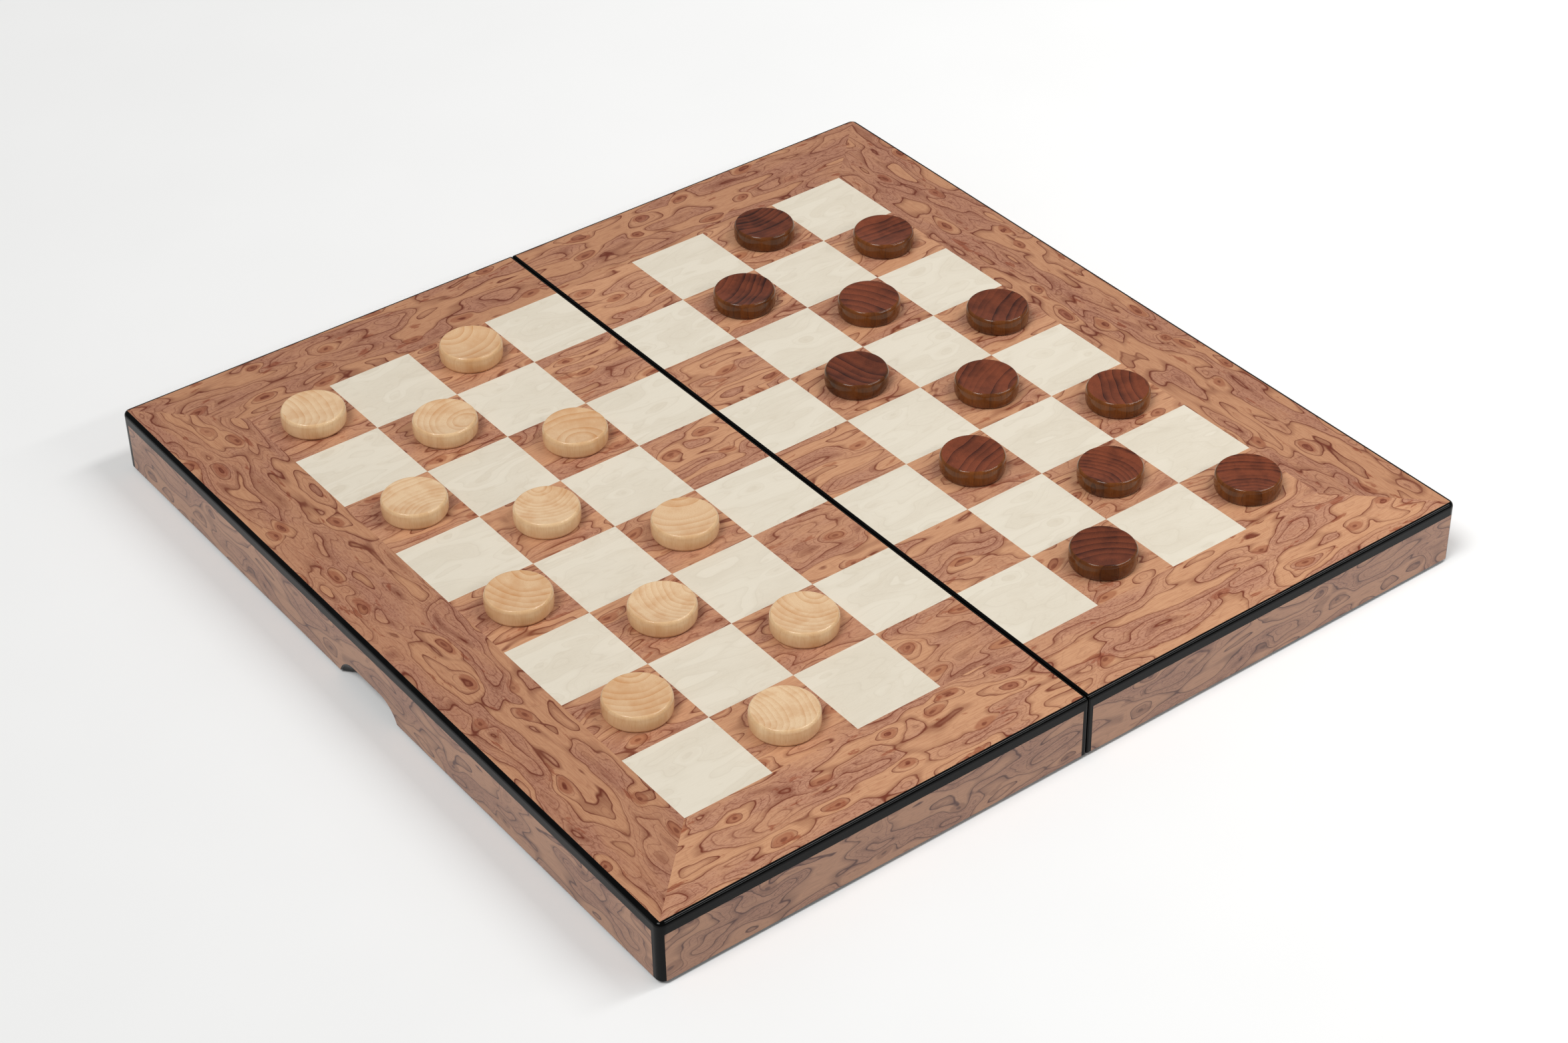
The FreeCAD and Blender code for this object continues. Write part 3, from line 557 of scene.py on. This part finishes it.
def half_outline(radius, height, dish_depth):
    """Points (r, z) from the middle of the upper face out to half-way down the side, in metres."""
    shoulder = SHOULDER_MM * MM
    side = radius - BARREL_MM * MM
    lip = side - shoulder * (1 - math.sin(SHOULDER_START))
    drop = shoulder * math.cos(SHOULDER_START)
    points = []
    for share in [step / DISH_STEPS for step in range(DISH_STEPS)] + [CREASE_SHARE, 1.0]:
        points.append((lip * share, height - dish_depth * (1 - share * share)))
    for step in range(1, SHOULDER_STEPS + 1):
        angle = SHOULDER_START + (math.pi / 2 - SHOULDER_START) * step / SHOULDER_STEPS
        out = side - shoulder * (1 - math.sin(angle))
        points.append((out, height - drop + shoulder * math.cos(angle)))
    for step in range(1, SIDE_STEPS + 1):
        share = step / SIDE_STEPS
        out = radius - BARREL_MM * MM * (1 - share) ** 2
        points.append((out, height - drop - (height / 2 - drop) * share))
    return points


def outline(radius, height, dish_depth):
    """The whole half-section: the upper half, then its mirror image back to the middle of the lower face."""
    upper = half_outline(radius, height, dish_depth)
    lower = [(r, height - z) for r, z in reversed(upper[:-1])]
    return upper + lower


print(f"the shoulder turns from {math.degrees(SHOULDER_START):.0f} to 90 degrees in {SHOULDER_STEPS} steps")

# %% [markdown]
# The profile is spun about the Z axis at the origin and moved to its square afterwards, so the object itself
# stays at the origin. While it is still centred, each point gets its place in the log: turned by a random
# angle and pushed away from the heart by a random distance. The hollow of each disc is also left to luck,
# as it is when a turner works by eye.

# %% Disc maker
DISH_DEPTHS_MM = (0.5, 0.6, 0.6, 0.8, 1.1)
WELD_MM = 0.001
LOG_LENGTH_MM = 900
RING_TIGHTNESS = (0.7, 1.4)
# How far the middle of a disc lay from the heart of its tree.
MAPLE_HEART_MM = (9, 24)
ROSEWOOD_HEART_MM = (16, 60)
LUCK_SEED = 24
# The end grain stops at this share of the radius, after fading over the share below it.
FACE_END = 0.935
FACE_FADE = 0.03


def spun_disc(name, low, high, wood, heart_range, luck):
    """One disc in the box that the frame gives, with its grain from its own part of the log."""
    radius = (high[0] - low[0]) / 2
    height = high[2] - low[2]
    middle = Vector(((low[0] + high[0]) / 2, (low[1] + high[1]) / 2, low[2]))
    dish_depth = luck.choice(DISH_DEPTHS_MM) * MM
    bm = bmesh.new()
    chain = [bm.verts.new((r, 0, z)) for r, z in outline(radius, height, dish_depth)]
    edges = [bm.edges.new(pair) for pair in zip(chain, chain[1:])]
    bmesh.ops.spin(
        bm, geom=chain + edges, cent=(0, 0, 0), axis=(0, 0, 1), dvec=(0, 0, 0), angle=TURN,
        steps=SPIN_STEPS, use_merge=True, use_duplicate=False,
    )
    bmesh.ops.remove_doubles(bm, verts=bm.verts, dist=WELD_MM * MM)
    bmesh.ops.recalc_face_normals(bm, faces=bm.faces)

    log = bm.verts.layers.float_vector.new("log")
    face = bm.verts.layers.float.new("face")
    turned = Matrix.Rotation(luck.uniform(0, TURN), 3, "Z")
    from_heart = Vector((luck.uniform(*heart_range) * MM, 0, luck.uniform(0, LOG_LENGTH_MM) * MM))
    tightness = luck.uniform(*RING_TIGHTNESS)
    for vertex in bm.verts:
        place = turned @ vertex.co + from_heart
        vertex[log] = Vector((place.x * tightness, place.y * tightness, place.z))
        rim = math.hypot(vertex.co.x, vertex.co.y) / radius
        vertex[face] = min(max((FACE_END - rim) / FACE_FADE, 0.0), 1.0)
    bmesh.ops.translate(bm, vec=middle, verts=bm.verts)
    mesh = bpy.data.meshes.new(name)
    bm.to_mesh(mesh)
    bm.free()
    mesh.shade_smooth()
    mesh.materials.append(wood)
    piece = bpy.data.objects.new(name, mesh)
    bpy.context.scene.collection.objects.link(piece)
    return piece


luck = random.Random(LUCK_SEED)
disc_nodes = sorted(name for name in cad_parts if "_disc_" in name)
for node in disc_nodes:
    light = node.startswith("light")
    low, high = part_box(node)
    wood, heart_range = (maple, MAPLE_HEART_MM) if light else (rosewood, ROSEWOOD_HEART_MM)
    piece = spun_disc(f"turned_{node}", low, high, wood, heart_range, luck)
    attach(piece, node)
    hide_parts(node)
print(len(disc_nodes), "discs turned, each with", len(piece.data.polygons), "faces")

# %% [markdown]
# ## Felt and plywood
# The trays are lined with felt, which is pressed wool: dull, soft-edged and slightly uneven, with sheen
# where loose fibres catch the light. The panels under the veneer are birch plywood, which shows only where
# nothing covers it. Both are flat boards already, so a material is all that they need.

# %% Felt and plywood
TUFT_MM = (0.7, 0.7, 0.7)
WORN_PATCH_MM = (25.0, 25.0, 25.0)
PLY_MM = (40.0, 40.0, 0.8)
BIRCH_FIBRE_MM = (12.0, 0.8, 0.8)


def felt(name):
    """Pressed wool felt with short tangled fibres about half a millimetre long."""
    made, tree, shader = surface(name, Roughness=0.95, Sheen_Weight=0.4, Sheen_Roughness=0.6)
    place = add(tree, "TexCoord", out="Object")
    fibres = grain(tree, place, TUFT_MM, detail=4.0, roughness=0.7)
    tufts = add(tree, "MapRange", fibres, 0.3, 0.7, **SOFT_STEP)
    patches = grain(tree, place, WORN_PATCH_MM, detail=3.0)
    patches = add(tree, "MapRange", patches, 0.35, 0.7, 0.0, 0.35, **SOFT_STEP)
    body = painted(tree, "#10402a", [(tufts, "#1d5a3d"), (patches, "#123a28")])
    dress(tree, shader, body, fibres, 0.6, 0.3)
    return made


def birch_plywood(name):
    """Birch plywood, whose plies are just under a millimetre thick."""
    made, tree, shader = surface(name, Roughness=0.6)
    place = add(tree, "TexCoord", out="Object")
    plies = add(tree, "MapRange", grain(tree, place, PLY_MM, detail=1.0), 0.4, 0.6, **SOFT_STEP)
    fibres = grain(tree, place, BIRCH_FIBRE_MM, detail=3.0)
    fibres = add(tree, "MapRange", fibres, 0.4, 0.7, 0.0, 0.4, **SOFT_STEP)
    body = painted(tree, "#d8b98c", [(plies, "#a97f52"), (fibres, "#b98f60")])
    tree.links.new(body, shader.inputs["Base Color"])
    return made


# Dark, dull green with a dusty bloom at grazing angles.
green_felt = felt("green_wool_felt")
# Plain pale wood with thin darker plies, and no shine.
plywood = birch_plywood("birch_plywood")
print("inside the case:", green_felt.name, plywood.name)

# %% [markdown]
# ## Metal
# The brass hinge leaves are stamped and brushed along their length, the pins are drawn steel wire and the
# magnets are nickel plated. All three are one recipe: fine lines that change the roughness and the relief,
# and faint stains. Only the colour, the gloss and the direction of the lines differ.

# %% Metal
STAIN_MM = (6.0, 6.0, 6.0)


def drawn_metal(name, tone, worn, rough, line_mm):
    """Metal with fine lines from brushing or drawing, line_mm = their size along X, Y and Z."""
    made, tree, shader = surface(name, Metallic=1.0)
    place = add(tree, "TexCoord", out="Object")
    lines = grain(tree, place, line_mm, detail=3.0, roughness=0.6)
    stains = grain(tree, place, STAIN_MM, detail=3.0)
    stains = add(tree, "MapRange", stains, 0.45, 0.75, 0.0, 0.5, **SOFT_STEP)
    worn_lines = add(tree, "MapRange", lines, 0.3, 0.7, rough * 0.7, rough * 1.3, **SOFT_STEP)
    tree.links.new(worn_lines, shader.inputs["Roughness"])
    dress(tree, shader, painted(tree, tone, [(stains, worn)]), lines, 0.2, 0.02)
    return made


# The lines are wider than a brush or a die leaves them, so that they show.
# Yellow metal whose lights are drawn out across the brushing.
brass = drawn_metal("brushed_brass", "#d8b05e", "#a67f3a", 0.28, (0.3, 8.0, 0.3))
# Cool grey with fine lines along the wire.
pin_steel = drawn_metal("drawn_steel_wire", "#b8babd", "#8d9094", 0.25, (0.2, 9.0, 0.2))
# A bright, slightly warm silver with no direction to its lines.
nickel = drawn_metal("nickel_plating", "#c9c6bd", "#aaa79d", 0.18, (2.0, 2.0, 2.0))
print("metals:", brass.name, pin_steel.name, nickel.name)

# %% [markdown]
# The CAD solids that already have their true shape keep it, and only change their finish: the material goes
# into the slot of the node's own object.

# %% Finishes for the pieces of the case
FINISHES = {
    "front_wall": wall_lacquer,
    "back_wall": wall_lacquer,
    "outer_wall": wall_lacquer,
    "seam_wall": wall_lacquer,
    "top_panel": plywood,
    "felt_lining": green_felt,
    "edge_lipping": lipping_lacquer,
    "side_veneers": side_veneer,
    "border_veneers": border_veneer,
    "light_squares": ivory_veneer,
    "dark_squares": square_veneer,
    "hinge_leaves": brass,
    "hinge_screws": brass,
    "rim_magnets": nickel,
    "hinge_pins": pin_steel,
}


def finish(node, material):
    """Give every material slot of a CAD node the same finish."""
    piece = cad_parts[node]
    for slot in piece.material_slots:
        slot.material = material


finished = 0
for start, material in FINISHES.items():
    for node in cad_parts:
        if node.startswith(start):
            finish(node, material)
            finished += 1
print(finished, "CAD pieces finished")

# %% [markdown]
# ## Floor
# A plain white sheet lies under the set. A filled circle is enough, as long as its rim is far outside every
# view.

# %% Floor
FLOOR_RADIUS = 6.0
FLOOR_SIDES = 64
MOTTLE_MM = (90.0, 90.0, 90.0)

bm = bmesh.new()
bmesh.ops.create_circle(bm, cap_ends=True, radius=FLOOR_RADIUS, segments=FLOOR_SIDES)
floor_mesh = bpy.data.meshes.new("floor")
bm.to_mesh(floor_mesh)
bm.free()
floor = bpy.data.objects.new("floor", floor_mesh)
bpy.context.scene.collection.objects.link(floor)
# Matt white paper that takes soft shadows and never shines.
white_paper, floor_tree, floor_shader = surface("white_paper", Roughness=0.9)
mottle = grain(floor_tree, add(floor_tree, "TexCoord", out="Object"), MOTTLE_MM)
paper = painted(floor_tree, "#f4f4f3", [(mottle, "#f8f8f7")])
floor_tree.links.new(paper, floor_shader.inputs["Base Color"])
floor_mesh.materials.append(white_paper)
floor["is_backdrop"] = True
print("floor", 2 * FLOOR_RADIUS, "m across")

# %% [markdown]
# ## Light
# The light is a studio's: an even room fills the shadows, and a broad soft light high on the left gives the
# discs their short shadows. Two long strip lamps hang in front on the right. The high one glints on lips and
# shoulders, and the lower, narrower one draws a thin line of light along the lacquered edge.

# %% Lights
ROOM_LIGHT = 0.24
KEY_PLACE = Vector((0.95, -0.42, 1.50))
EDGE_PLACE = Vector((0.95, -1.22, 1.02))
WINDOW_ANGLE = math.radians(26)


def towards(heading, height):
    """The direction of a light from the board; heading is counted from +Y towards +X, in degrees."""
    turn, rise = math.radians(heading), math.radians(height)
    return Vector((math.sin(turn) * math.cos(rise), math.cos(turn) * math.cos(rise), math.sin(rise)))


def shine(name, kind, source, strength):
    """A light that shines from a direction down on the board."""
    lamp = bpy.data.lights.new(name, kind)
    lamp.energy = strength
    made = bpy.data.objects.new(name, lamp)
    made.rotation_mode = "QUATERNION"
    made.rotation_quaternion = source.to_track_quat("Z", "Y")
    bpy.context.scene.collection.objects.link(made)
    return made


def strip(name, place, strength, length, width):
    """A long lamp that lies along X and faces the board, for one unbroken line of light on each edge."""
    made = shine(name, "AREA", Vector((0, place.y, place.z)), strength)
    made.location = place
    made.data.shape = "RECTANGLE"
    made.data.size = length
    made.data.size_y = width


strip("key_strip", KEY_PLACE, strength=11.5, length=1.2, width=0.3)
strip("edge_strip", EDGE_PLACE, strength=6.0, length=1.5, width=0.12)
overhead = shine("overhead_light", "SUN", towards(heading=262, height=59), strength=1.70)
overhead.data.angle = WINDOW_ANGLE
world = bpy.data.worlds.new("studio")
world.use_nodes = True
world.node_tree.nodes["Background"].inputs["Color"].default_value = (1.0, 1.0, 1.0, 1.0)
world.node_tree.nodes["Background"].inputs["Strength"].default_value = ROOM_LIGHT
bpy.context.scene.world = world
bpy.context.scene.view_settings.view_transform = "Standard"
print("lights:", [item.name for item in bpy.data.lights])

# %% Sizes and finish
low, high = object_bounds()
print("visual box in mm:", [round(side / MM, 1) for side in high - low])
